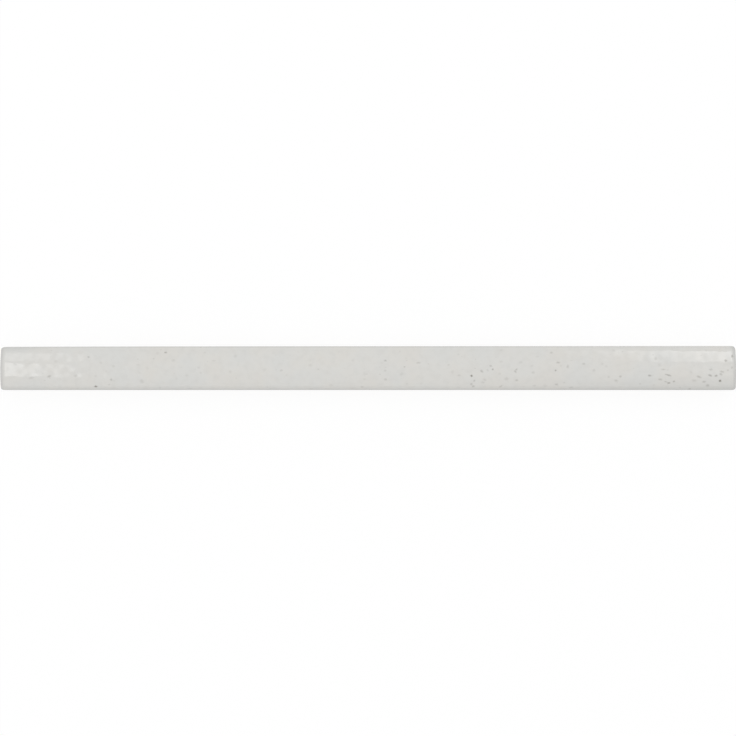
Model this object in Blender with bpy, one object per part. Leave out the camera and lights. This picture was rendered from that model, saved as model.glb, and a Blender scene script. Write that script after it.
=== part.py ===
"""Jolly trim tile: a slim glazed ceramic strip that finishes the edge of a field of wall tiles.

The strip is pressed and fired in one piece. Its length lies along X and it rests on its back, with
the origin under its middle. The section is a bar with upright long sides and a shallow dome for a
face. The dome's crown lies a little to the front, and its front edge, the finished one, is rolled
over more fully than the rear edge, which meets the tiles. The back has grooves that key it into the
adhesive.
"""

import math

import bmesh
import bpy

MM = 0.001

# The strip
TRIM_LENGTH = 200.0 * MM
FACE_WIDTH = 12.0 * MM
THICKNESS = 9.0 * MM  # from the back to the crown
DOME_RADIUS = 15.0 * MM
CROWN_OFFSET = 0.7 * MM  # how far the crown lies in front of the strip's middle

# The arrises
FRONT_ARRIS_RADIUS = 1.8 * MM  # where the dome turns down into the front side
REAR_ARRIS_RADIUS = 0.8 * MM  # and into the rear side
END_ARRIS_RADIUS = 1.4 * MM  # over the face, at both ends
CORNER_RADIUS = 0.9 * MM  # down the four upright corners
WIDEST_END_RADIUS = max(END_ARRIS_RADIUS, CORNER_RADIUS)  # the edge weights are shares of it
BACK_CHAMFER = 0.3 * MM  # round the back

# The key grooves, which run through from end to end
GROOVE_COUNT = 2
GROOVE_PITCH = 5.0 * MM
GROOVE_MOUTH = 2.0 * MM
GROOVE_DEPTH = 0.6 * MM
GROOVE_DRAFT = math.radians(30.0)  # how far each flank leans from upright

# How finely the round stretches are faceted
DOME_SEGMENTS = 32
LONG_ARRIS_SEGMENTS = 12
END_ARRIS_SEGMENTS = 10

# How far a groove cutter runs past the strip on every open side
CUTTER_OVERRUN = 1.0 * MM

# Faces that meet at more than this angle are shaded with a sharp edge between them
SHARP_ANGLE = math.radians(35.0)

# The glaze stops where a face looks down more than this share of straight down
BARE_FACE_SLOPE = 0.5

GLAZE_COLOUR = (0.66, 0.65, 0.63, 1.0)
GLAZE_ROUGHNESS = 0.12
BISCUIT_COLOUR = (0.62, 0.54, 0.43, 1.0)
BISCUIT_ROUGHNESS = 0.85


def clear_scene():
    """Remove every object that the file opened with."""
    for obj in list(bpy.data.objects):
        bpy.data.objects.remove(obj, do_unlink=True)


def ceramic_material(name, colour, roughness):
    """A plain ceramic finish of one colour."""
    material = bpy.data.materials.new(name)
    material.use_nodes = True
    shader = material.node_tree.nodes["Principled BSDF"]
    shader.inputs["Base Color"].default_value = colour
    shader.inputs["Roughness"].default_value = roughness
    shader.inputs["Metallic"].default_value = 0.0
    return material


def arc(centre, radius, start, end, segments):
    """Points (y, z) on an arc. Angles run from +Z towards +Y."""
    points = []
    for step in range(segments + 1):
        angle = start + (end - start) * step / segments
        points.append((centre[0] + radius * math.sin(angle), centre[1] + radius * math.cos(angle)))
    return points


def long_arris(side, radius):
    """The arris between the dome and one long side: its centre, and the angle where it leaves the dome.

    The side is -1 at the front and 1 at the rear. The arc is tangent to the dome and to the side.
    """
    centre_y = side * (FACE_WIDTH / 2 - radius)
    from_crown = centre_y + CROWN_OFFSET
    reach = DOME_RADIUS - radius
    centre_z = THICKNESS - DOME_RADIUS + math.sqrt(reach**2 - from_crown**2)
    return (centre_y, centre_z), math.asin(from_crown / reach)


def section_outline():
    """The strip's section as (y, z) points, from the back's front edge round over the face."""
    front_centre, front_tangent = long_arris(-1, FRONT_ARRIS_RADIUS)
    rear_centre, rear_tangent = long_arris(1, REAR_ARRIS_RADIUS)
    dome_centre = (-CROWN_OFFSET, THICKNESS - DOME_RADIUS)
    upright = math.pi / 2

    front = arc(front_centre, FRONT_ARRIS_RADIUS, -upright, front_tangent, LONG_ARRIS_SEGMENTS)
    dome = arc(dome_centre, DOME_RADIUS, front_tangent, rear_tangent, DOME_SEGMENTS)
    rear = arc(rear_centre, REAR_ARRIS_RADIUS, rear_tangent, upright, LONG_ARRIS_SEGMENTS)
    half_width = FACE_WIDTH / 2
    return [(-half_width, 0.0), *front, *dome[1:-1], *rear, (half_width, 0.0)]


def prism(outline, length):
    """A bmesh bar of the given section, centred on the origin along X."""
    bm = bmesh.new()
    start = bm.faces.new([bm.verts.new((-length / 2, y, z)) for y, z in outline])
    swept = bmesh.ops.extrude_face_region(bm, geom=[start])
    moved = [item for item in swept["geom"] if isinstance(item, bmesh.types.BMVert)]
    bmesh.ops.translate(bm, verts=moved, vec=(length, 0.0, 0.0))
    bmesh.ops.recalc_face_normals(bm, faces=bm.faces)
    return bm


def add_object(name, bm, materials):
    """Put a finished bmesh into the scene as an object, with its materials in slot order."""
    mesh = bpy.data.meshes.new(name)
    bm.to_mesh(mesh)
    bm.free()
    for material in materials:
        mesh.materials.append(material)
    obj = bpy.data.objects.new(name, mesh)
    bpy.context.scene.collection.objects.link(obj)
    return obj


def weight_end_rims(bm):
    """Give each edge round the end faces a bevel weight for its own radius.

    Over the face that is the end arris, and it narrows to the corner's radius as the outline turns
    upright. The edges on the back get none.
    """
    weights = bm.edges.layers.float.new("bevel_weight_edge")
    for edge in bm.edges:
        first, second = [vert.co for vert in edge.verts]
        at_one_end = abs(second.x - first.x) < TRIM_LENGTH / 2
        on_back = first.z == 0.0 and second.z == 0.0
        if at_one_end and not on_back:
            level = abs(second.y - first.y) / edge.calc_length()
            radius = CORNER_RADIUS + (END_ARRIS_RADIUS - CORNER_RADIUS) * level
            edge[weights] = radius / WIDEST_END_RADIUS


def roll_ends(blank):
    """The blank with the arrises rolled round both ends, as a bmesh."""
    bevel = blank.modifiers.new("end_arris", "BEVEL")
    bevel.limit_method = "WEIGHT"
    bevel.offset_type = "OFFSET"
    bevel.width = WIDEST_END_RADIUS
    bevel.segments = END_ARRIS_SEGMENTS
    bm = bmesh.new()
    bm.from_object(blank, bpy.context.evaluated_depsgraph_get())
    bpy.data.objects.remove(blank, do_unlink=True)
    return bm


def back_rim(bm):
    """The edges round the back."""
    back = min(bm.faces, key=lambda face: face.normal.z)
    return list(back.edges)


def make_strip(glaze, biscuit):
    """The strip with its arrises rolled over, before the key grooves are cut.

    The face, the sides and the ends are glazed. The back and its chamfer are bare biscuit.
    """
    bm = prism(section_outline(), TRIM_LENGTH)
    weight_end_rims(bm)
    bm = roll_ends(add_object("blank", bm, []))
    bm.normal_update()
    bmesh.ops.bevel(
        bm,
        geom=back_rim(bm),
        offset=BACK_CHAMFER,
        offset_type="OFFSET",
        segments=1,
        affect="EDGES",
        clamp_overlap=True,
    )
    bm.normal_update()
    for face in bm.faces:
        face.material_index = 1 if face.normal.z < -BARE_FACE_SLOPE else 0
    strip = add_object("trim_tile", bm, [glaze, biscuit])
    strip.data.shade_smooth()
    strip.data.set_sharp_from_angle(angle=SHARP_ANGLE)
    return strip


def groove_outline(middle_y):
    """The section of one groove cutter: flanks that lean together from below the back."""
    lean = math.tan(GROOVE_DRAFT)
    root = GROOVE_MOUTH / 2 - GROOVE_DEPTH * lean
    foot = GROOVE_MOUTH / 2 + CUTTER_OVERRUN * lean
    return [
        (middle_y - foot, -CUTTER_OVERRUN),
        (middle_y - root, GROOVE_DEPTH),
        (middle_y + root, GROOVE_DEPTH),
        (middle_y + foot, -CUTTER_OVERRUN),
    ]


def cut_grooves(strip, biscuit):
    """Cut the key grooves into the back, spread evenly about its middle."""
    first_y = -GROOVE_PITCH * (GROOVE_COUNT - 1) / 2
    for number in range(GROOVE_COUNT):
        bm = prism(groove_outline(first_y + GROOVE_PITCH * number), TRIM_LENGTH + 2 * CUTTER_OVERRUN)
        cutter = add_object(f"key_groove_{number + 1}", bm, [biscuit])
        cutter.hide_render = True
        cutter.display_type = "WIRE"
        cut = strip.modifiers.new(cutter.name, "BOOLEAN")
        cut.operation = "DIFFERENCE"
        cut.solver = "EXACT"
        cut.material_mode = "TRANSFER"
        cut.object = cutter


def main():
    clear_scene()
    glaze = ceramic_material("white_gloss_glaze", GLAZE_COLOUR, GLAZE_ROUGHNESS)
    biscuit = ceramic_material("bare_biscuit", BISCUIT_COLOUR, BISCUIT_ROUGHNESS)
    strip = make_strip(glaze, biscuit)
    cut_grooves(strip, biscuit)


main()
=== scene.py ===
import math

import bpy
import numpy as np
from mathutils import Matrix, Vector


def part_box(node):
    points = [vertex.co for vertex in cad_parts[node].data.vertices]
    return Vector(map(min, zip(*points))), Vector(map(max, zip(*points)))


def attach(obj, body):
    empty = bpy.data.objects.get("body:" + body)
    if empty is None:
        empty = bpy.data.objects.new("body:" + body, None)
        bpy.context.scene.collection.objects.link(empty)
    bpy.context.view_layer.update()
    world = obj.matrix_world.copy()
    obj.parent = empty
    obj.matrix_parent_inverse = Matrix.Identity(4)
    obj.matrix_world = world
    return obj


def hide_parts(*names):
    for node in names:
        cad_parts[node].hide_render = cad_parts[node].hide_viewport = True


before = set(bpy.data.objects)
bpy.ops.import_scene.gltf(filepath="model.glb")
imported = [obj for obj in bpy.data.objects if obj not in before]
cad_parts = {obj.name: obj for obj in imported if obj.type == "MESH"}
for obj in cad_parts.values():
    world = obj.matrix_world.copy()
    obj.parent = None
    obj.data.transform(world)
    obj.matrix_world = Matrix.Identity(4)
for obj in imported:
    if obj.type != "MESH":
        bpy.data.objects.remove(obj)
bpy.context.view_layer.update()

stripLow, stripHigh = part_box("trim_tile")
mm = 0.001
halfLength = (stripHigh.x - stripLow.x) / 2 / mm
halfWidth = (stripHigh.y - stripLow.y) / 2 / mm
crownHeight = stripHigh.z / mm
print(f"frame: the strip is {2 * halfLength:.1f} x {2 * halfWidth:.1f} x {crownHeight:.1f} mm")


def toLinear(hexColour):
    # An sRGB colour such as "#D6D5D1" as linear red, green, blue and alpha
    channels = [int(hexColour[i : i + 2], 16) / 255 for i in (1, 3, 5)]
    return (*[c / 12.92 if c <= 0.04045 else ((c + 0.055) / 1.055) ** 2.4 for c in channels], 1.0)


def addNode(tree, kind, feeds=None, **settings):
    # Adds a node, sets its properties, and fills each input named in feeds with a value or a link
    node = tree.nodes.new(kind)
    for name, value in settings.items():
        setattr(node, name, value)
    for socket, source in (feeds or {}).items():
        if isinstance(source, bpy.types.NodeSocket):
            tree.links.new(source, node.inputs[socket])
        else:
            node.inputs[socket].default_value = source
    return node


# The shape of the strip, in millimetres. The left end is where x is lowest, the front where y is
strip = {
    "domeRadius": 15.0,
    "crownOffset": 0.7,  # how far the crown lies in front of the middle
    "crownWander": 0.35,  # and how far it strays from there along the strip
    "crownWave": (150.0, -18.0),  # the length of the wave that it strays in, and where that starts
    "frontRoll": (1.32, 1.3),  # the rolled arris at the front: how far it reaches in, and down
    "rearRoll": (0.5, 0.6),
    "endRoll": (1.42, 1.3),  # and the one round the right end
    "leftReach": 1.7,  # the one round the left end reaches in further
    "frontBlend": (2.5, 4.6),  # how far from the middle the end roll's depth turns into the front roll's
    "rearBlend": (4.2, 5.5),  # and into the rear roll's
    "rearGrowth": (0.6, 0.42),  # how much fuller the rear roll is at the left end: in, and down
    "rearGrowthRun": (12.0, 2.0),  # how far from the left end that starts, and where it is whole
    "squareness": 8.0,  # of the upright corners before they are cut round: 2 is a quarter circle
    "cornerDepth": ((0.55, 0.9), (0.6, 0.85)),  # of the cuts, front and rear: at the left end, at the right
    "cornerWidth": ((0.95, 1.05), (0.85, 1.7)),
    "cornerRun": 5.0,  # how far in from an end the rows still give way to a cut
    "backRoll": 0.3,  # the quarter round about the back
    "narrowing": 0.115,  # how much less wide the left end is, all of it along the rear side
    "endNarrowing": 0.12,  # and how much less again over its last stretch
    "endNarrowingPower": 6,  # that grows with this power of the way there
    "glazeLine": 2.5,  # how high above the back the glaze stops
    "glazeWander": 0.45,  # the line strays by less than this
    "wanderRise": 3.0,  # how far above the line the rows still go along with it
    "glazeFilm": 0.16,  # how far the glaze stands proud of the bare clay
    "glazeBead": 0.22,  # height of the rounded foot of the glaze
    "footFullness": (0.25, 0.5),  # by what share the foot is fuller than the film, and how far up
    "sideLean": 0.03,  # how far the sides lean in from the arris down, so that the foot stays inside
    "leanHeights": (4.0, 6.5),  # where the lean is whole, and where it starts
    "groovePitch": 5.0,
    "grooveMouth": 2.0,
    "grooveDepth": 0.6,
    "grooveDraft": 0.35,  # width of each sloping flank
    "grooveClear": 0.3,  # up the ends the grooves fade, and are gone this far below the glaze line
    # Waves, each set by its seed, shortest and longest wavelength and slope, and the last by its headings too
    "lineWaves": ((11, 9.0, 34.0, 0.16), (12, 2.2, 5.0, 0.13)),  # of the glaze line
    "clayWaves": (24, 1.5, 6.0, 0.02),  # of the bare clay
    "claySlant": (3.0, 2.0),  # how far those slip to the left and to the front with each millimetre up
    "faceWaves": ((21, 18.0, 60.0, 0.004), (378, 2.2, 6.0, 0.011)),  # of the poured glaze
    "fineWaves": (5, 1.9, 3.2, 0.009),
    "crossWaves": (6, 2.0, 3.2, 0.005, (-0.4, 0.4)),  # with crests across the strip
    "fineCalm": 0.35,  # the share by which the fine ones are calmer at the right
    "calmRun": 60.0,  # how far from the middle the fine ones are calmest, and the crossing ones whole
    "faceLevels": (0.2, 0.8),  # how level the surface is where the waves of the face start and are whole
    "faceDrop": 0.05,  # lets the face down, so that the crests of its waves stay inside
    # How many steps the mesh takes
    "rollSteps": {"left": 9, "right": 8, "front": 9, "rear": 8, "top": 8},
    "alongSteps": 520,
    "backSteps": (4, 3, 4, 3, 9, 3, 4, 3, 6),  # from the front over both grooves: flats, flanks and floors
    "backRollSteps": 3,
    "claySteps": 5,
    "wallSteps": 8,
    "footRows": (0, 0.06, 0.2, 0.45, 0.8, 1.3),  # of the foot of the glaze, as shares of its height
    "sharpAngle": 50.0,  # degrees
}


def cornerPlaces(half, roll, steps):
    # Places from half - roll out to half, spaced so that the rolled arris turns by equal angles
    return half - roll + roll * np.tan(np.linspace(0, math.pi / 4, steps + 1))


def stretches(stops, counts):
    # Evenly spaced places between each stop and the next, with the given number of steps
    runs = [np.linspace(a, b, n, endpoint=False) for a, b, n in zip(stops, stops[1:], counts)]
    return np.concatenate([*runs, [stops[-1]]])


def boxShell(places):
    # The surface of a box as six grids. Each grid runs over two of the three lists of places, at
    # the first or last of the third, and points that two grids share are welded into one, to six
    # decimals
    points, quads, count = [], [], 0
    for axis in range(3):
        second, third = (axis + 1) % 3, (axis + 2) % 3
        a, b = np.meshgrid(places[second], places[third], indexing="ij")
        for end in (0, -1):
            grid = np.empty((*a.shape, 3))
            grid[..., axis], grid[..., second], grid[..., third] = places[axis][end], a, b
            index = np.arange(a.size).reshape(a.shape) + count
            corners = [index[:-1, :-1], index[1:, :-1], index[1:, 1:], index[:-1, 1:]]
            faces = np.stack(corners, axis=-1).reshape(-1, 4)
            points.append(grid.reshape(-1, 3))
            quads.append(faces if end else faces[:, ::-1])
            count += a.size
    points, welded = np.unique(np.round(np.concatenate(points), 6), axis=0, return_inverse=True)
    return points, welded.reshape(-1)[np.concatenate(quads)]


def ripple(x, y, seed, shortest, longest, slope, fan=(0, math.pi), count=28):
    # A sum of plane waves with random headings in a fan, random phases and wavelengths. Each is as
    # high as its wavelength allows for the same slope, and together they tilt the surface by about
    # that slope
    rng = np.random.default_rng(seed)
    wavelength = rng.uniform(shortest, longest, count)
    heading = rng.uniform(*fan, count)
    phase = rng.uniform(0, 2 * math.pi, count)
    turn = 2 * math.pi / wavelength
    height = slope / turn * math.sqrt(2 / count)
    waves = np.sin(x[:, None] * turn * np.cos(heading) + y[:, None] * turn * np.sin(heading) + phase)
    return waves @ height


def smooth(value, low, high):
    # 0 below low and 1 above high, with an S-shaped rise between
    t = np.clip((value - low) / (high - low), 0, 1)
    return t * t * (3 - 2 * t)


def stripPlaces():
    # Where the grids have their rows: along the strip, across it and up it. They crowd in the
    # arrises, at the flanks of the grooves and at the foot of the glaze
    s = strip
    steps = s["rollSteps"]
    leftEnd = cornerPlaces(halfLength, s["leftReach"], steps["left"])
    rightEnd = cornerPlaces(halfLength, s["endRoll"][0], steps["right"])
    between = np.linspace(-leftEnd[0], rightEnd[0], s["alongSteps"] + 1)[1:-1]
    along = np.concatenate([-leftEnd[::-1], between, rightEnd])

    frontSide = cornerPlaces(halfWidth, s["frontRoll"][0], steps["front"])
    rearSide = cornerPlaces(halfWidth, s["rearRoll"][0], steps["rear"])
    mouth, pitch, flank = s["grooveMouth"] / 2, s["groovePitch"] / 2, s["grooveDraft"]
    edges = [pitch - mouth, pitch - mouth + flank, pitch + mouth - flank, pitch + mouth]
    stops = [-frontSide[0], *[-edge for edge in edges[::-1]], *edges, rearSide[0]]
    across = np.concatenate([-frontSide[:0:-1], stretches(stops, s["backSteps"]), rearSide[1:]])

    line = s["glazeLine"]
    quarter = np.linspace(0, math.pi / 2, s["backRollSteps"] + 1)[:-1]
    foot = line + s["glazeBead"] * np.array(s["footRows"])
    top = cornerPlaces(crownHeight, s["endRoll"][1], steps["top"])
    up = [
        s["backRoll"] * (1 - np.cos(quarter)),
        np.linspace(s["backRoll"], line, s["claySteps"], endpoint=False),
        foot,
        np.linspace(foot[-1], top[0], s["wallSteps"] + 1)[1:-1],
        top,
    ]
    return along, across, np.concatenate(up)


def wallShare(z):
    # How far up the walls z lies: 0 at the glaze line and below, 1 at the arris and above
    wallTop = crownHeight - strip["endRoll"][1]
    return np.clip((z - strip["glazeLine"]) / (wallTop - strip["glazeLine"]), 0, 1)


def roundedBlock(points):
    # Along the edges of the face, points are pulled to the nearest point of a smaller box inside and
    # pushed out again along the same way by a quarter ellipse, as far as the arris reaches in and
    # down. In plan the way out to an upright corner is a superellipse's. Also given back: how level
    # the surface is, and which way it faces in plan
    s = strip
    tiny = 1e-9  # what is divided by is never less
    x, y, z = points.T
    nominalDepth = s["endRoll"][1]
    growth = smooth(-x, *[halfLength - run for run in s["rearGrowthRun"]])
    rearReach, rearDepth = [roll + growth * more for roll, more in zip(s["rearRoll"], s["rearGrowth"])]
    reachX = np.where(x < 0, s["leftReach"], s["endRoll"][0])
    reachY = np.where(y < 0, s["frontRoll"][0], rearReach)
    depth = nominalDepth + (s["frontRoll"][1] - nominalDepth) * smooth(-y, *s["frontBlend"])
    depth = depth + (rearDepth - nominalDepth) * smooth(y, *s["rearBlend"])

    outX = np.clip((np.abs(x) - halfLength) / reachX + 1, 0, 1) * np.sign(x)
    outY = np.clip((np.abs(y) - halfWidth) / reachY + 1, 0, 1) * np.sign(y)
    outZ = np.clip((z - crownHeight) / nominalDepth + 1, 0, 1)
    flat = np.hypot(outX, outY)
    whole = np.maximum(np.hypot(flat, outZ), tiny)
    share = np.where(z == 0, np.maximum(np.abs(outX), np.abs(outY)), flat / whole)
    turnX, turnY = outX / np.maximum(flat, tiny), outY / np.maximum(flat, tiny)
    n = s["squareness"]
    corner = np.maximum(np.abs(turnX) ** n + np.abs(turnY) ** n, tiny) ** (-1 / n)
    innerX = np.clip(x, reachX - halfLength, halfLength - reachX)
    innerY = np.clip(y, reachY - halfWidth, halfWidth - reachY)
    placeX = innerX + reachX * turnX * corner * share
    placeY = innerY + reachY * turnY * corner * share
    onRoll = crownHeight - depth + depth * outZ / whole
    below = z + (nominalDepth - depth) * wallShare(z)
    placeZ = np.where(outZ > 0, onRoll, below)

    facing = np.stack([turnX, turnY], axis=1)
    facing = np.sign(facing) * np.abs(facing) ** (n - 1)
    facing /= np.maximum(np.linalg.norm(facing, axis=1, keepdims=True), tiny)
    level = np.where(z == 0, np.sqrt(1 - np.clip(share, 0, 1) ** 2), outZ / whole + (flat == 0))
    return placeX, placeY, placeZ, level, facing


def cornerCut(x, y):
    # How far an end is pressed in near a long side, which cuts the upright corner round: as an
    # ellipse's edge falls away from its tangent. Each corner has its own depth and width
    isRight, isRear = (x > 0).astype(int), (y > 0).astype(int)
    depth = np.array(strip["cornerDepth"])[isRight, isRear]
    width = np.array(strip["cornerWidth"])[isRight, isRear]
    into = np.clip(1 - (halfWidth - np.abs(y)) / width, 0, 1)
    return depth * (1 - np.sqrt(1 - into**2))


def domeDrop(x, y):
    # How far the dome's arc has fallen from its crown, which strays in a sine wave along the strip
    radius = strip["domeRadius"]
    length, start = strip["crownWave"]
    crown = -strip["crownOffset"] + strip["crownWander"] * np.sin(2 * math.pi * (x - start) / length)
    return radius - np.sqrt(radius**2 - (y - crown) ** 2)


def grooveShare(y):
    # 1 on the floor of a groove and 0 beside it, with an S-shaped flank between
    mouth = strip["grooveMouth"] / 2
    fromGroove = np.abs(np.abs(y) - strip["groovePitch"] / 2)
    return 1 - smooth(fromGroove, mouth - strip["grooveDraft"], mouth)


def footFilm(fromLine):
    # How thick the glaze is at a height above its line, as a share of the film: a quarter round, a
    # little fuller than the film by a share that dies away upwards
    fuller, fade = strip["footFullness"]
    rise = np.clip(fromLine / strip["glazeBead"], 0, 1)
    return np.sqrt(1 - (1 - rise) ** 2) * (1 + fuller * np.exp(-np.clip(fromLine, 0, None) / fade))


def faceRipple(x, y):
    # The waves of the poured glaze: some all over the face, fine ones that are calmer towards the
    # right, and crossing ones that rise towards the left
    s = strip
    poured = sum(ripple(x, y, *wave) for wave in s["faceWaves"])
    fine = ripple(x, y, *s["fineWaves"]) * (1 - s["fineCalm"] * smooth(x, 0, s["calmRun"]))
    crossing = ripple(x, y, *s["crossWaves"]) * smooth(-x, 0, s["calmRun"])
    return poured + fine + crossing


def shapeStrip(points):
    # The rounded block, let down by the dome's arc, with grooves raised into the back, the clay drawn
    # in below the glaze line, sides that lean in, ripples on the face, the upright corners cut round
    # and one long side running in to the left
    s = strip
    nominal = points[:, 2]
    x, y, z, level, facing = roundedBlock(points)
    sideways = np.sqrt(1 - np.clip(level, 0, 1) ** 2) * (np.abs(facing).sum(axis=1) > 0)
    cut = cornerCut(x, y)
    z = z - domeDrop(x, y) * wallShare(nominal)
    upEnd = smooth(nominal, 0.0, s["glazeLine"] - s["grooveClear"])
    z = z + s["grooveDepth"] * grooveShare(y) * (1 - upEnd)

    # The back is drawn in by a quarter circle as its edge is reached
    low = np.clip(1 - nominal / s["backRoll"], 0, 1)
    drawnIn = s["backRoll"] * (1 - np.sqrt(1 - low**2))
    x = x * (1 - drawnIn / halfLength)
    y = y * (1 - drawnIn / halfWidth)

    # The glaze line wanders, and the rows about it go along
    fromLine = nominal - s["glazeLine"]
    wander = sum(ripple(x, y, *wave) for wave in s["lineWaves"])
    wander = s["glazeWander"] * np.tanh(wander / s["glazeWander"])
    near = np.where(fromLine < 0, 1 + fromLine / s["glazeLine"], 1 - fromLine / s["wanderRise"])
    z = z + wander * np.clip(near, 0, 1) * sideways

    # The clay lies as far inside as the film is thick, and has a grain of its own
    slantX, slantY = s["claySlant"]
    grain = ripple(x + slantX * z, y + slantY * z, *s["clayWaves"]) * (fromLine < 0) * sideways
    lean = s["sideLean"] * (1 - smooth(nominal, *s["leanHeights"]))
    inward = (s["glazeFilm"] * (1 - footFilm(fromLine)) + lean) * sideways - grain
    x = x - inward * facing[:, 0]
    y = y - inward * facing[:, 1]

    onFace = smooth(level, *s["faceLevels"]) * (nominal > 0)
    z = z + onFace * (faceRipple(x, y) - s["faceDrop"])

    # The cut of a corner takes the rows near its end along
    x = x - cut * np.sign(x) * (1 - smooth(halfLength - np.abs(x), 0, s["cornerRun"]))

    # The rear side runs in towards the left end
    toLeft = np.clip((halfLength - x) / (2 * halfLength), 0, 1)
    narrowing = s["narrowing"] * toLeft + s["endNarrowing"] * toLeft ** s["endNarrowingPower"]
    y = y - narrowing * (y + halfWidth) / (2 * halfWidth)
    return np.stack([x, y, z], axis=1)


def makeStrip(materials):
    # The box's shell in its shape, glazed above the glaze line and bare clay below it
    points, quads = boxShell(stripPlaces())
    bare = points[quads][..., 2].mean(axis=1) < strip["glazeLine"]
    points = shapeStrip(points) * mm
    mesh = bpy.data.meshes.new("trimStrip")
    mesh.vertices.add(len(points))
    mesh.vertices.foreach_set("co", points.astype(np.float32).ravel())
    mesh.loops.add(quads.size)
    mesh.loops.foreach_set("vertex_index", quads.astype(np.int32).ravel())
    mesh.polygons.add(len(quads))
    mesh.polygons.foreach_set("loop_start", np.arange(0, quads.size, 4, dtype=np.int32))
    mesh.update(calc_edges=True)
    mesh.validate()
    for material in materials:
        mesh.materials.append(material)
    mesh.polygons.foreach_set("material_index", bare.astype(np.int32))
    mesh.shade_smooth()
    mesh.set_sharp_from_angle(angle=math.radians(strip["sharpAngle"]))
    piece = bpy.data.objects.new("glazed_strip", mesh)
    bpy.context.scene.collection.objects.link(piece)
    print(f"strip: {len(points)} points, {2 * len(quads)} triangles")
    return piece


# Gloss tin-white glaze: a clear, wet-looking glass coat over an opaque warm white, a little
# rippled, with brown-grey iron specks that broke through in the kiln
glaze = {
    "white": "#D6D5D1",
    "warmWhite": "#D6D4CF",
    "coolWhite": "#D4D4D1",
    "thinWhite": "#CDCCC8",
    # the grey of the painted shade along the arrises and at three corners
    "edgeShadeWhite": "#BFBFBC",
    "roughness": 0.03,
    "ior": 1.52,  # fired lead-free glass
    "cloud": 9.0,  # mm across the faint clouds of colour
    "cloudStops": (0.35, 0.5, 0.65),  # the noise's value where they are warm, plain and cool
    "mottle": 1.7,  # mm across the spots where the glaze is thinner
    "mottleStops": (0.45, 0.8),  # the noise's value where they start and where they are thinnest
    "mottleMost": 0.5,  # how far they go towards the thin white
    "peel": 1.3,  # mm between the finest ripples
    "peelHeight": 0.007,
    "endEdge": (1.3, 0.5),  # mm from the ends over which painted shade greys the glaze, partly standing for glaze drawn thin over the arris, and how far
    "frontEdge": (0.42, 0.6),
    "rearEdge": (0.6, 0.35),
    "rearFade": 0.3,  # what is left of the rear one at the right end
    "edgeCore": 1 / 3,  # the outermost share of those widths, where the painted shade is whole
    "edgeHeights": (4.5, 6.5),  # mm above the back where the edges start and where they are whole
    # Three corners greyed by painted shade too: mm along and across where that starts and where it
    # is whole, and how dark
    "shadedCorners": (
        ((10.0, 105.0), (-1.5, -5.5), 0.32),  # front right
        ((-80.0, -96.0), (4.0, 5.4), 0.3),  # rear left
        ((97.4, 99.4), (4.2, 5.8), 0.5),  # rear right
    ),
    "speck": "#6B665B",
    "speckRim": (1.1, 0.1),  # where its soft edge begins and ends, as shares of its half size
    "nick": 1 / 3,  # mm across the nicks in its outline
    "nickSpan": 0.5,  # mm between the nicks furthest in and furthest out
    # Specks strewn at random: mm to a cell, seed, least and greatest radius in mm, least and greatest
    # strength, and about what share of the cells has none at the left end and at the right
    "strewnSpecks": (3.0, 40.0, (0.15, 0.5), (0.04, 0.16), (0.8, 0.4)),
    "fineSpecks": (1.3, 90.0, (0.08, 0.28), (0.03, 0.16), (0.7, 0.5)),
    "speckSquash": 0.7,  # their width as a share of their length, which lies along the strip
}

# How much of the iron shows through the glaze
speckKinds = {
    "dark": 0.84,
    "clear": 0.48,
    "soft": 0.3,
    "light": 0.22,
    "faint": 0.165,
    "ghost": 0.1,
    "hint": 0.06,
}

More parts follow.
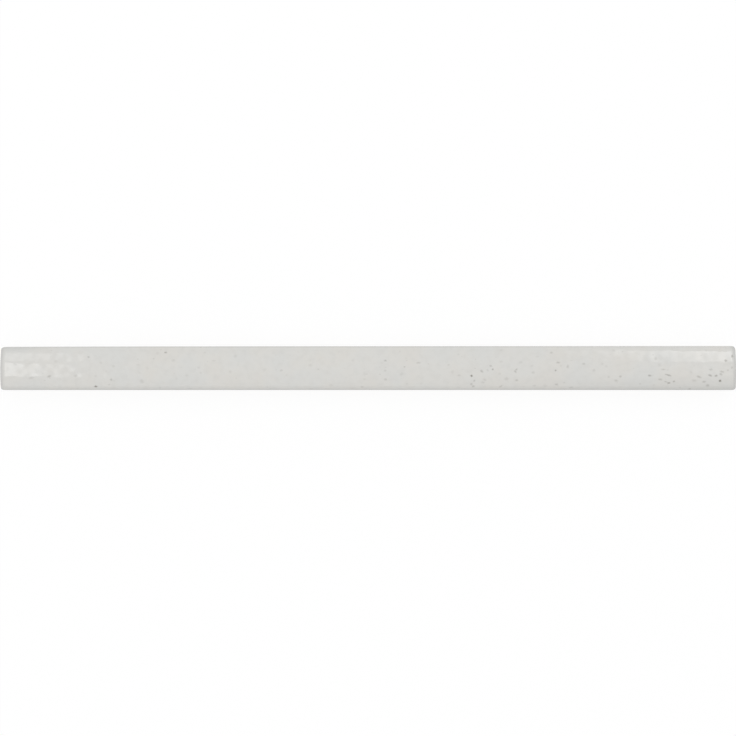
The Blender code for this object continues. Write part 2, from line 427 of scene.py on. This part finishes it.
# The specks that stand out, each at its place on the face in mm from the middle: along, across,
# length and width of its soft spot, turn in degrees and kind
boldSpecks = [
    (-91.3, -2.6, 2.2, 1.0, 22, "faint"),
    (-86.5, -2.25, 1.5, 0.85, 20, "soft"),
    (-84.7, 1.8, 1.7, 1.3, -15, "ghost"),
    (-79.3, -2.1, 1.5, 0.9, -5, "faint"),
    (-75.9, 3.0, 1.0, 0.7, -10, "soft"),
    (-73.9, -5.0, 1.25, 0.65, -5, "dark"),
    (-73.9, -2.2, 0.9, 1.0, 0, "ghost"),
    (-72.5, 1.4, 1.2, 1.1, 0, "ghost"),
    (-70.3, -4.5, 1.0, 0.5, 10, "faint"),
    (-69.7, -3.15, 1.0, 0.8, -10, "soft"),
    (-69.1, 0.5, 1.1, 1.0, 0, "ghost"),
    (-69.0, -3.4, 1.0, 0.7, 0, "hint"),
    (-62.4, 0.85, 1.5, 0.7, 0, "ghost"),
    (-61.9, -1.3, 1.2, 0.9, 0, "hint"),
    (-61.4, -3.6, 1.9, 1.5, -30, "faint"),
    (-59.9, 0.0, 1.2, 1.1, 0, "hint"),
    (-55.05, 4.2, 1.0, 0.65, 10, "clear"),
    (-52.0, -2.9, 0.9, 1.2, 0, "hint"),
    (-48.6, -5.6, 2.4, 0.6, 0, "ghost"),
    (-45.95, 0.1, 1.3, 0.9, -10, "ghost"),
    (-45.4, -1.3, 1.2, 0.7, -30, "ghost"),
    (-44.4, 4.2, 0.9, 0.8, 0, "ghost"),
    (-41.9, 2.0, 1.5, 0.55, 0, "ghost"),
    (-37.4, -1.0, 1.3, 1.1, 0, "ghost"),
    (-36.05, 3.25, 1.4, 1.2, -10, "ghost"),
    (-28.1, -0.45, 1.8, 1.0, 30, "hint"),
    (-27.4, -5.1, 1.1, 0.9, 0, "hint"),
    (-22.2, -1.95, 0.8, 0.8, 0, "hint"),
    (-15.7, 0.75, 1.5, 1.1, 0, "ghost"),
    (-15.7, 2.1, 0.9, 0.8, 0, "hint"),
    (-15.6, -5.65, 2.0, 0.5, 0, "ghost"),
    (-11.0, -5.65, 1.8, 0.5, 0, "hint"),
    (-10.1, -4.7, 1.7, 1.0, -15, "ghost"),
    (-4.2, 2.1, 1.1, 1.1, 0, "hint"),
    (-1.6, -5.1, 1.4, 0.7, 0, "faint"),
    (-1.0, -3.0, 1.2, 0.9, 0, "ghost"),
    (-1.0, -1.6, 0.8, 1.6, 0, "hint"),
    (3.6, 1.4, 1.2, 0.8, -15, "hint"),
    (4.65, 2.0, 1.1, 0.7, 0, "soft"),
    (4.8, 0.15, 0.8, 0.5, 0, "ghost"),
    (4.6, -0.75, 1.1, 0.9, 0, "faint"),
    (4.7, -3.1, 1.2, 0.9, 0, "light"),
    (9.0, -1.7, 1.7, 1.1, 40, "ghost"),
    (9.85, 0.3, 0.7, 0.6, 0, "soft"),
    (10.3, 2.7, 1.1, 0.7, 0, "hint"),
    (13.65, 1.4, 1.8, 0.75, 0, "light"),
    (14.4, -4.2, 1.4, 1.1, 0, "hint"),
    (22.85, -1.0, 1.3, 1.3, 0, "ghost"),
    (24.5, 3.7, 1.0, 0.8, 0, "ghost"),
    (24.6, -2.0, 1.2, 0.75, 0, "faint"),
    (24.6, -5.3, 1.2, 0.7, 0, "hint"),
    (28.0, -2.1, 0.9, 0.7, -30, "dark"),
    (28.0, -4.4, 0.9, 1.0, 0, "soft"),
    (28.5, -4.95, 1.1, 0.7, 0, "soft"),
    (28.8, -3.4, 1.0, 0.75, 10, "soft"),
    (30.8, -0.9, 1.4, 0.9, -35, "soft"),
    (31.1, -3.9, 1.5, 0.6, -10, "faint"),
    (31.6, -3.15, 1.4, 0.7, -30, "faint"),
    (32.4, -0.6, 1.1, 0.7, -40, "faint"),
    (33.2, 0.55, 1.1, 0.8, -20, "soft"),
    (33.75, -0.4, 0.75, 0.7, 0, "clear"),
    (35.6, -1.6, 1.1, 0.9, 0, "ghost"),
    (36.0, 1.7, 1.3, 0.7, 10, "ghost"),
    (36.0, -4.95, 1.6, 0.65, 30, "light"),
    (37.5, -2.9, 1.8, 1.3, 0, "faint"),
    (39.85, -0.9, 1.2, 0.65, -45, "soft"),
    (40.2, -0.4, 1.2, 0.65, 30, "soft"),
    (40.3, -3.3, 1.1, 0.8, 0, "soft"),
    (44.4, 0.6, 1.0, 0.8, 0, "ghost"),
    (44.7, -1.2, 1.3, 1.0, 0, "faint"),
    (45.1, -4.8, 1.3, 0.8, 0, "faint"),
    (45.9, 3.1, 1.2, 0.8, 0, "ghost"),
    (48.0, -4.8, 1.4, 1.1, 0, "ghost"),
    (49.7, 4.2, 1.2, 0.8, 0, "light"),
    (50.8, -0.7, 0.8, 0.65, 30, "clear"),
    (51.1, -4.45, 1.1, 0.7, 0, "soft"),
    (51.5, 1.5, 1.5, 0.8, 0, "soft"),
    (52.2, 0.6, 1.0, 0.8, 0, "ghost"),
    (54.1, 0.4, 1.0, 1.5, 0, "light"),
    (55.1, -5.3, 1.8, 0.7, 0, "faint"),
    (58.4, 1.15, 1.2, 0.9, 0, "light"),
    (61.2, -0.6, 1.1, 1.2, 0, "faint"),
    (63.5, 1.1, 1.3, 1.1, 0, "ghost"),
    (64.5, 0.5, 1.1, 0.9, 0, "ghost"),
    (65.2, -2.4, 0.9, 0.9, 0, "faint"),
    (66.7, 4.7, 1.5, 0.9, -15, "ghost"),
    (67.25, -3.4, 1.5, 0.9, 0, "light"),
    (68.4, -2.3, 1.0, 0.9, 0, "soft"),
    (69.1, 4.5, 0.7, 0.5, 0, "faint"),
    (76.35, -2.05, 1.4, 0.7, -5, "clear"),
    (78.0, 2.6, 1.1, 1.3, 0, "faint"),
    (79.0, 0.8, 1.7, 1.3, 0, "ghost"),
    (79.2, -3.1, 1.6, 0.85, -10, "soft"),
    (80.0, -0.4, 1.7, 0.65, 0, "light"),
    (80.7, -3.7, 1.4, 0.5, -10, "soft"),
    (81.2, -0.5, 1.0, 0.6, 0, "ghost"),
    (81.3, -1.9, 2.4, 0.6, -15, "clear"),
    (81.5, -4.05, 1.25, 0.85, 0, "clear"),
    (82.6, 5.2, 1.1, 0.6, 0, "ghost"),
    (82.9, -3.7, 0.9, 0.65, 10, "clear"),
    (87.3, -5.65, 1.4, 0.5, 0, "soft"),
    (87.5, -1.1, 1.2, 0.9, 0, "ghost"),
    (88.4, -3.4, 1.8, 0.9, -10, "faint"),
    (89.7, -2.4, 2.0, 0.8, -20, "soft"),
    (91.1, -3.7, 1.6, 0.8, 0, "soft"),
    (91.7, 4.8, 1.0, 0.8, 0, "ghost"),
    (92.1, -4.75, 1.4, 1.0, 10, "soft"),
    (92.7, -2.0, 1.5, 0.8, -20, "clear"),
    (92.9, -0.4, 1.4, 0.8, 0, "light"),
    (94.3, -2.1, 1.2, 0.75, 5, "clear"),
    (95.45, -3.5, 1.0, 0.95, 0, "dark"),
    (95.6, -1.65, 1.4, 0.9, -25, "soft"),
    (95.9, -1.0, 1.8, 0.85, -15, "soft"),
    (97.0, 2.0, 1.2, 0.9, 0, "clear"),
    (97.5, -0.6, 0.9, 0.8, 0, "light"),
    (98.6, 0.1, 0.9, 1.1, 0, "light"),
    (98.8, 3.2, 0.8, 1.1, 0, "clear"),
]


def makeSpeckGroup():
    # One iron speck: its strength in the middle of an ellipse of the given half length and half
    # width, with an S-shaped fall to none at its edge. What is stronger already stays
    tree = bpy.data.node_groups.new("ironSpeck", "ShaderNodeTree")
    for name, kind in (
        ("Face place", "NodeSocketVector"),
        ("Speck place", "NodeSocketVector"),
        ("Turn", "NodeSocketFloat"),
        ("Half size", "NodeSocketVector"),
        ("Strength", "NodeSocketFloat"),
        ("So far", "NodeSocketFloat"),
    ):
        tree.interface.new_socket(name, in_out="INPUT", socket_type=kind)
    tree.interface.new_socket("Specks", in_out="OUTPUT", socket_type="NodeSocketFloat")
    given = addNode(tree, "NodeGroupInput").outputs
    feeds = {0: given["Face place"], 1: given["Speck place"]}
    away = addNode(tree, "ShaderNodeVectorMath", feeds, operation="SUBTRACT")
    feeds = {"Vector": away.outputs[0], "Angle": given["Turn"]}
    turned = addNode(tree, "ShaderNodeVectorRotate", feeds, rotation_type="Z_AXIS", invert=True)
    feeds = {0: turned.outputs[0], 1: given["Half size"]}
    scaled = addNode(tree, "ShaderNodeVectorMath", feeds, operation="DIVIDE")
    reach = addNode(tree, "ShaderNodeVectorMath", {0: scaled.outputs[0]}, operation="LENGTH")
    feeds = {"Value": reach.outputs["Value"], "To Max": given["Strength"]}
    feeds |= {"From Min": glaze["speckRim"][0], "From Max": glaze["speckRim"][1]}
    mask = addNode(tree, "ShaderNodeMapRange", feeds, interpolation_type="SMOOTHSTEP")
    feeds = {0: mask.outputs[0], 1: given["So far"]}
    most = addNode(tree, "ShaderNodeMath", feeds, operation="MAXIMUM")
    addNode(tree, "NodeGroupOutput", {0: most.outputs[0]})
    return tree


def looseSpecks(tree, place, cell, seed, radii, strengths, empty):
    # Specks strewn at random, at most one to a cell of a Voronoi pattern. A cell shows its speck only
    # if its own random number is over a bar, which runs evenly from the left end to the right, and
    # the further over it, the larger the speck. A second random number sets its strength
    rim = (1.2, 0.5)  # where its soft edge begins and ends, as shares of its radius
    feeds = {0: place, 1: (seed, 0.0, 0.0)}
    offset = addNode(tree, "ShaderNodeVectorMath", feeds, operation="ADD").outputs[0]
    cells = addNode(tree, "ShaderNodeTexVoronoi", {"Vector": offset, "Scale": 1 / cell}).outputs
    rolls = addNode(tree, "ShaderNodeSeparateColor", {0: cells["Color"]}).outputs
    along = addNode(tree, "ShaderNodeSeparateXYZ", {0: place}).outputs["X"]
    feeds = {"Value": along, "From Min": -halfLength, "From Max": halfLength}
    feeds |= {"To Min": empty[0], "To Max": empty[1]}
    bar = addNode(tree, "ShaderNodeMapRange", feeds).outputs[0]
    feeds = {0: rolls[0], 1: bar}
    shown = addNode(tree, "ShaderNodeMath", feeds, operation="GREATER_THAN").outputs[0]
    feeds = {"Value": rolls[0], "From Min": bar, "From Max": 1.0}
    feeds |= {"To Min": radii[0] / cell, "To Max": radii[1] / cell}
    radius = addNode(tree, "ShaderNodeMapRange", feeds).outputs[0]
    feeds = {0: cells["Distance"], 1: radius}
    ratio = addNode(tree, "ShaderNodeMath", feeds, operation="DIVIDE").outputs[0]
    feeds = {"Value": ratio, "From Min": rim[0], "From Max": rim[1]}
    spot = addNode(tree, "ShaderNodeMapRange", feeds, interpolation_type="SMOOTHSTEP").outputs[0]
    feeds = {"Value": rolls[1], "To Min": strengths[0], "To Max": strengths[1]}
    strength = addNode(tree, "ShaderNodeMapRange", feeds).outputs[0]
    both = addNode(tree, "ShaderNodeMath", {0: spot, 1: shown}, operation="MULTIPLY").outputs[0]
    return addNode(tree, "ShaderNodeMath", {0: both, 1: strength}, operation="MULTIPLY").outputs[0]


def placeInMm(tree):
    # Where a point lies on the strip, in millimetres
    coordinates = addNode(tree, "ShaderNodeTexCoord")
    feeds = {"Vector": coordinates.outputs["Object"], "Scale": (1 / mm, 1 / mm, 1 / mm)}
    return addNode(tree, "ShaderNodeMapping", feeds).outputs[0]


def glazeWhite(tree, place):
    # Faint clouds of warmer and cooler white, and small spots where the body dulls a thinner glaze
    warm, plain, cool = glaze["cloudStops"]
    feeds = {"Vector": place, "Scale": 1 / glaze["cloud"], "Detail": 3.0}
    clouds = addNode(tree, "ShaderNodeTexNoise", feeds)
    ramp = addNode(tree, "ShaderNodeValToRGB", {0: clouds.outputs[0]})
    ramp.color_ramp.elements[0].position = warm
    ramp.color_ramp.elements[0].color = toLinear(glaze["warmWhite"])
    ramp.color_ramp.elements[1].position = cool
    ramp.color_ramp.elements[1].color = toLinear(glaze["coolWhite"])
    ramp.color_ramp.elements.new(plain).color = toLinear(glaze["white"])
    feeds = {"Vector": place, "Scale": 1 / glaze["mottle"], "Detail": 2.0}
    spots = addNode(tree, "ShaderNodeTexNoise", feeds)
    start, thinnest = glaze["mottleStops"]
    feeds = {"Value": spots.outputs[0], "From Min": start, "From Max": thinnest}
    thin = addNode(tree, "ShaderNodeMapRange", feeds | {"To Max": glaze["mottleMost"]})
    feeds = {"Factor": thin.outputs[0], 6: ramp.outputs[0], 7: toLinear(glaze["thinWhite"])}
    return addNode(tree, "ShaderNodeMix", feeds, data_type="RGBA").outputs[2]


def thinGlazeAndPaintedShade(tree, place):
    # How far the white is greyed by painted shade, from 0 to 1: a smooth band rises towards the ends
    # and towards the long sides and fades again down the sides, painted shade on the arrises that
    # partly stands for glaze drawn thin there. Painted shade at three corners is added to that
    axes = addNode(tree, "ShaderNodeSeparateXYZ", {0: place}).outputs
    outX = addNode(tree, "ShaderNodeMath", {0: axes["X"]}, operation="ABSOLUTE").outputs[0]
    frontWidth, frontMost = glaze["frontEdge"]
    rearWidth, rearMost = glaze["rearEdge"]
    feeds = {"Value": axes["X"], "From Min": -halfLength / 2, "From Max": halfLength}
    feeds |= {"To Min": rearMost, "To Max": rearMost * glaze["rearFade"]}
    rearFading = addNode(tree, "ShaderNodeMapRange", feeds).outputs[0]
    edge = 0.0
    for out, half, width, most in (
        (outX, halfLength, *glaze["endEdge"]),
        (axes["Y"], -halfWidth, -frontWidth, frontMost),
        (axes["Y"], halfWidth, rearWidth, rearFading),
    ):
        feeds = {"Value": out, "From Min": half - width, "To Max": most}
        feeds |= {"From Max": half - width * glaze["edgeCore"]}
        band = addNode(tree, "ShaderNodeMapRange", feeds, interpolation_type="SMOOTHSTEP").outputs[0]
        edge = addNode(tree, "ShaderNodeMath", {0: band, 1: edge}, operation="MAXIMUM").outputs[0]
    start, whole = glaze["edgeHeights"]
    feeds = {"Value": axes["Z"], "From Min": start, "From Max": whole}
    high = addNode(tree, "ShaderNodeMapRange", feeds, interpolation_type="SMOOTHSTEP").outputs[0]
    paintedShadeShare = addNode(tree, "ShaderNodeMath", {0: edge, 1: high}, operation="MULTIPLY").outputs[0]
    # Painted shade at three corners, added to the band
    for alongs, acrosses, most in glaze["shadedCorners"]:
        feeds = {"Value": axes["X"], "From Min": alongs[0], "From Max": alongs[1], "To Max": most}
        toEnd = addNode(tree, "ShaderNodeMapRange", feeds, interpolation_type="SMOOTHSTEP").outputs[0]
        feeds = {"Value": axes["Y"], "From Min": acrosses[0], "From Max": acrosses[1]}
        toSide = addNode(tree, "ShaderNodeMapRange", feeds, interpolation_type="SMOOTHSTEP").outputs[0]
        feeds = {0: toEnd, 1: toSide}
        cornerShade = addNode(tree, "ShaderNodeMath", feeds, operation="MULTIPLY").outputs[0]
        feeds = {0: paintedShadeShare, 1: cornerShade}
        paintedShadeShare = addNode(tree, "ShaderNodeMath", feeds, operation="ADD", use_clamp=True).outputs[0]
    return paintedShadeShare


def ironSpecks(tree, place):
    # How much iron shows, from 0 to 1: the strongest of the strewn specks and the placed ones. Noise
    # shifts the place that they are looked up at, so every outline is a little ragged
    feeds = {"Vector": place, "Scale": 1 / glaze["nick"], "Detail": 2.0}
    noise = addNode(tree, "ShaderNodeTexNoise", feeds)
    feeds = {0: noise.outputs["Color"], 1: (0.5, 0.5, 0.5)}
    centred = addNode(tree, "ShaderNodeVectorMath", feeds, operation="SUBTRACT")
    feeds = {0: centred.outputs[0], "Scale": glaze["nickSpan"]}
    nudge = addNode(tree, "ShaderNodeVectorMath", feeds, operation="SCALE")
    feeds = {0: place, 1: nudge.outputs[0]}
    nudged = addNode(tree, "ShaderNodeVectorMath", feeds, operation="ADD").outputs[0]
    feeds = {0: nudged, 1: (1.0, 1.0, 0.0)}
    facePlace = addNode(tree, "ShaderNodeVectorMath", feeds, operation="MULTIPLY").outputs[0]
    feeds = {0: nudged, 1: (glaze["speckSquash"], 1.0, 1.0)}
    squashed = addNode(tree, "ShaderNodeVectorMath", feeds, operation="MULTIPLY").outputs[0]
    strewn = looseSpecks(tree, squashed, *glaze["strewnSpecks"])
    fine = looseSpecks(tree, squashed, *glaze["fineSpecks"])
    specks = addNode(tree, "ShaderNodeMath", {0: strewn, 1: fine}, operation="MAXIMUM").outputs[0]
    group = makeSpeckGroup()
    for along, across, length, width, turn, kind in boldSpecks:
        feeds = {
            "Face place": facePlace,
            "Speck place": (along, across, 0.0),
            "Turn": math.radians(turn),
            "Half size": (length / 2, width / 2, 1.0),
            "Strength": speckKinds[kind],
            "So far": specks,
        }
        specks = addNode(tree, "ShaderNodeGroup", feeds, node_tree=group).outputs[0]
    return specks


def makeGlaze():
    # The white, greyed by painted shade along the arrises and at three corners and browned where iron
    # shows, under a gloss with an orange peel that is too fine for the mesh
    material = bpy.data.materials.new("tinWhiteGlossGlaze")
    material.use_nodes = True
    tree = material.node_tree
    shader = tree.nodes["Principled BSDF"]
    shader.inputs["Roughness"].default_value = glaze["roughness"]
    shader.inputs["IOR"].default_value = glaze["ior"]
    place = placeInMm(tree)
    white = glazeWhite(tree, place)
    # Painted shade: the white greys along the arrises and at three corners
    feeds = {"Factor": thinGlazeAndPaintedShade(tree, place), 6: white, 7: toLinear(glaze["edgeShadeWhite"])}
    white = addNode(tree, "ShaderNodeMix", feeds, data_type="RGBA").outputs[2]
    feeds = {"Factor": ironSpecks(tree, place), 6: white, 7: toLinear(glaze["speck"])}
    colour = addNode(tree, "ShaderNodeMix", feeds, data_type="RGBA")
    tree.links.new(colour.outputs[2], shader.inputs["Base Color"])
    feeds = {"Vector": place, "Scale": 1 / glaze["peel"], "Detail": 2.0}
    peel = addNode(tree, "ShaderNodeTexNoise", feeds)
    feeds = {"Height": peel.outputs[0], "Distance": glaze["peelHeight"] * mm, "Strength": 1.0}
    bump = addNode(tree, "ShaderNodeBump", feeds)
    tree.links.new(bump.outputs[0], shader.inputs["Normal"])
    return material


# Bare biscuit: dry-pressed cream clay fired once, matt and chalky, with a sandy grain
biscuit = {
    "clay": "#CFC2AC",
    "paleClay": "#DACFBC",
    "grit": "#A08B70",
    "roughness": 0.88,
    "patches": 0.15,  # of paler clay, to a millimetre
    "gritSpecks": (1.1, 10.0, (0.06, 0.2), (0.3, 0.8), (0.7, 0.7)),  # as the glaze's strewn specks
    "grain": 0.35,  # mm across
    "grainHeight": 0.06,
    "grainStrength": 0.8,
}


def makeBiscuit():
    # Patches of paler clay with grit strewn over them, and a bump for the grain
    material = bpy.data.materials.new("creamBiscuitClay")
    material.use_nodes = True
    tree = material.node_tree
    shader = tree.nodes["Principled BSDF"]
    shader.inputs["Roughness"].default_value = biscuit["roughness"]
    place = placeInMm(tree)
    feeds = {"Vector": place, "Scale": biscuit["patches"], "Detail": 6.0}
    patches = addNode(tree, "ShaderNodeTexNoise", feeds)
    feeds = {"Factor": patches.outputs[0], 6: toLinear(biscuit["clay"]), 7: toLinear(biscuit["paleClay"])}
    clay = addNode(tree, "ShaderNodeMix", feeds, data_type="RGBA").outputs[2]
    grit = looseSpecks(tree, place, *biscuit["gritSpecks"])
    feeds = {"Factor": grit, 6: clay, 7: toLinear(biscuit["grit"])}
    colour = addNode(tree, "ShaderNodeMix", feeds, data_type="RGBA").outputs[2]
    tree.links.new(colour, shader.inputs["Base Color"])
    feeds = {"Vector": place, "Scale": 1 / biscuit["grain"], "Detail": 4.0}
    grain = addNode(tree, "ShaderNodeTexNoise", feeds)
    feeds = {"Height": grain.outputs[0], "Distance": biscuit["grainHeight"] * mm}
    bump = addNode(tree, "ShaderNodeBump", feeds | {"Strength": biscuit["grainStrength"]})
    tree.links.new(bump.outputs[0], shader.inputs["Normal"])
    return material


trimStrip = makeStrip([makeGlaze(), makeBiscuit()])
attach(trimStrip, "root")
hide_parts("trim_tile")
print("materials: glaze and biscuit")


# The studio: a white sweep, plain light from all round and soft boxes whose reflections the glaze shows
studio = {
    "floorHalf": 3.0,  # m
    "floorGrey": "#EAEAEA",  # what the floor sends back to the strip
    "floorShadow": 0.09,  # how much of the floor's own white a full shadow would take
    "skyLevel": 0.555,  # the light of the sky along the horizon
    "skyRise": (0.0, 0.04, 0.46),  # and what it gains to the right, to the rear and overhead
    "white": 1.0,
    "boxHeight": 1.0,  # m above the strip
}


def seenPath(tree):
    # 1 for rays from the camera, or from a mirror or glass, and 0 for the rays that light things
    path = addNode(tree, "ShaderNodeLightPath").outputs
    feeds = {0: path["Is Camera Ray"], 1: path["Is Glossy Ray"]}
    seen = addNode(tree, "ShaderNodeMath", feeds, operation="MAXIMUM")
    feeds = {0: seen.outputs[0], 1: path["Is Transmission Ray"]}
    return addNode(tree, "ShaderNodeMath", feeds, operation="MAXIMUM").outputs[0]


def makeFloor():
    # One level square. Where it is seen it glows almost white, and the rest of its white is left to
    # take a soft shadow. The light that it sends back to the strip is that of plain pale paper
    mesh = bpy.data.meshes.new("floor")
    h = studio["floorHalf"]
    mesh.from_pydata([(-h, -h, 0), (h, -h, 0), (h, h, 0), (-h, h, 0)], [], [(0, 1, 2, 3)])
    floor = bpy.data.objects.new("floor", mesh)
    bpy.context.scene.collection.objects.link(floor)
    material = bpy.data.materials.new("whiteSweepPaper")
    material.use_nodes = True
    tree = material.node_tree
    tree.nodes.remove(tree.nodes["Principled BSDF"])
    paper = addNode(tree, "ShaderNodeBsdfDiffuse", {"Color": toLinear(studio["floorGrey"])})
    share = studio["floorShadow"]
    shaded = addNode(tree, "ShaderNodeBsdfDiffuse", {"Color": (share, share, share, 1)})
    glow = addNode(tree, "ShaderNodeEmission", {"Strength": studio["white"] - share})
    seen = addNode(tree, "ShaderNodeAddShader", {0: shaded.outputs[0], 1: glow.outputs[0]})
    feeds = {0: seenPath(tree), 1: paper.outputs[0], 2: seen.outputs[0]}
    either = addNode(tree, "ShaderNodeMixShader", feeds)
    tree.links.new(either.outputs[0], tree.nodes["Material Output"].inputs["Surface"])
    mesh.materials.append(material)


def makeSky():
    # Plain white where it is seen. The light it gives grows with the height above the horizon, as in
    # a room with a bright ceiling
    world = bpy.data.worlds.new("whiteSky")
    bpy.context.scene.world = world
    world.use_nodes = True
    tree = world.node_tree
    coordinates = addNode(tree, "ShaderNodeTexCoord")
    feeds = {0: coordinates.outputs["Generated"], 1: studio["skyRise"]}
    rise = addNode(tree, "ShaderNodeVectorMath", feeds, operation="DOT_PRODUCT")
    feeds = {0: rise.outputs["Value"], 1: studio["skyLevel"]}
    light = addNode(tree, "ShaderNodeMath", feeds, operation="ADD")
    feeds = {"Value": seenPath(tree), "To Min": light.outputs[0], "To Max": studio["white"]}
    level = addNode(tree, "ShaderNodeMapRange", feeds)
    tree.links.new(level.outputs[0], tree.nodes["Background"].inputs["Strength"])
    tree.nodes["Background"].inputs["Color"].default_value = (1, 1, 1, 1)


# The soft boxes, which hang level over the strip, in metres: along it each is full from its outer end
# to the second place and fades evenly to nothing at the third
softBoxes = {
    "leftBox": {"along": (-0.52, -0.289, -0.2865), "across": (-0.22, 0.278), "strength": 2.15},
    "leftInnerBox": {"along": (-0.2865, -0.280, -0.2365), "across": (-0.22, 0.278), "strength": 1.55},
    "leftRearBox": {"along": (-0.52, -0.290, -0.246), "across": (0.40, 0.82), "strength": 1.0},
    "rightBox": {"along": (0.56, 0.32, 0.235), "across": (-0.14, 0.28), "strength": 0.42},
    "rightRearBox": {"along": (0.56, 0.335, 0.2235), "across": (0.38, 0.98), "strength": 2.2},
}


def makeSoftBox(name):
    # A level rectangle of light whose cloth is lit evenly, down to nothing at its inner end
    outer, full, faded = softBoxes[name]["along"]
    fromX, toX = min(outer, faded), max(outer, faded)
    fromY, toY = softBoxes[name]["across"]
    lamp = bpy.data.lights.new(name, "AREA")
    lamp.shape = "RECTANGLE"
    lamp.size, lamp.size_y = toX - fromX, toY - fromY
    lamp.energy = softBoxes[name]["strength"] * lamp.size * lamp.size_y * math.pi
    lamp.use_nodes = True
    tree = lamp.node_tree
    geometry = addNode(tree, "ShaderNodeNewGeometry")
    place = addNode(tree, "ShaderNodeSeparateXYZ", {0: geometry.outputs["Parametric"]})
    fade = {"From Min": (faded - fromX) / lamp.size, "From Max": (full - fromX) / lamp.size}
    cloth = addNode(tree, "ShaderNodeMapRange", {"Value": place.outputs["X"], **fade})
    tree.links.new(cloth.outputs[0], tree.nodes["Emission"].inputs["Strength"])
    box = bpy.data.objects.new(name, lamp)
    bpy.context.scene.collection.objects.link(box)
    box.location = ((fromX + toX) / 2, (fromY + toY) / 2, crownHeight * mm + studio["boxHeight"])
    box.visible_camera = False


makeFloor()
makeSky()
for name in softBoxes:
    makeSoftBox(name)
print("studio: floor, sky and soft boxes")


# The camera, which looks straight down with +Y up in the picture
view = {
    "sensorWidth": 36.0,
    "reach": 0.5,  # m from the camera to the crown
    "endDrop": 0.001,  # m from the crown down to where the ends are longest
    "halfPicture": 368.0,  # px from the middle of the picture to its sides
    "halfStrip": 368.19,  # px from the middle of the strip to its ends, just outside the picture
    "aim": (-0.055, 0.01),  # mm from the middle of the strip to the middle of the picture
}


def makeCamera():
    # What the lens takes in is worked out from how much of the picture the strip's length fills
    lens = bpy.data.cameras.new("camera")
    lens.sensor_width = view["sensorWidth"]
    reach = view["reach"]
    stripInPicture = view["halfStrip"] / view["halfPicture"]
    halfView = halfLength * mm * reach / (reach + view["endDrop"]) / stripInPicture
    lens.lens = lens.sensor_width / 2 * reach / halfView
    camera = bpy.data.objects.new("camera", lens)
    bpy.context.scene.collection.objects.link(camera)
    aimX, aimY = view["aim"]
    camera.location = (aimX * mm, aimY * mm, crownHeight * mm + reach)
    bpy.context.scene.camera = camera
    print(f"camera: {reach:.2f} m over the crown, lens {lens.lens:.1f} mm")


makeCamera()
bpy.context.scene.view_settings.view_transform = "Standard"
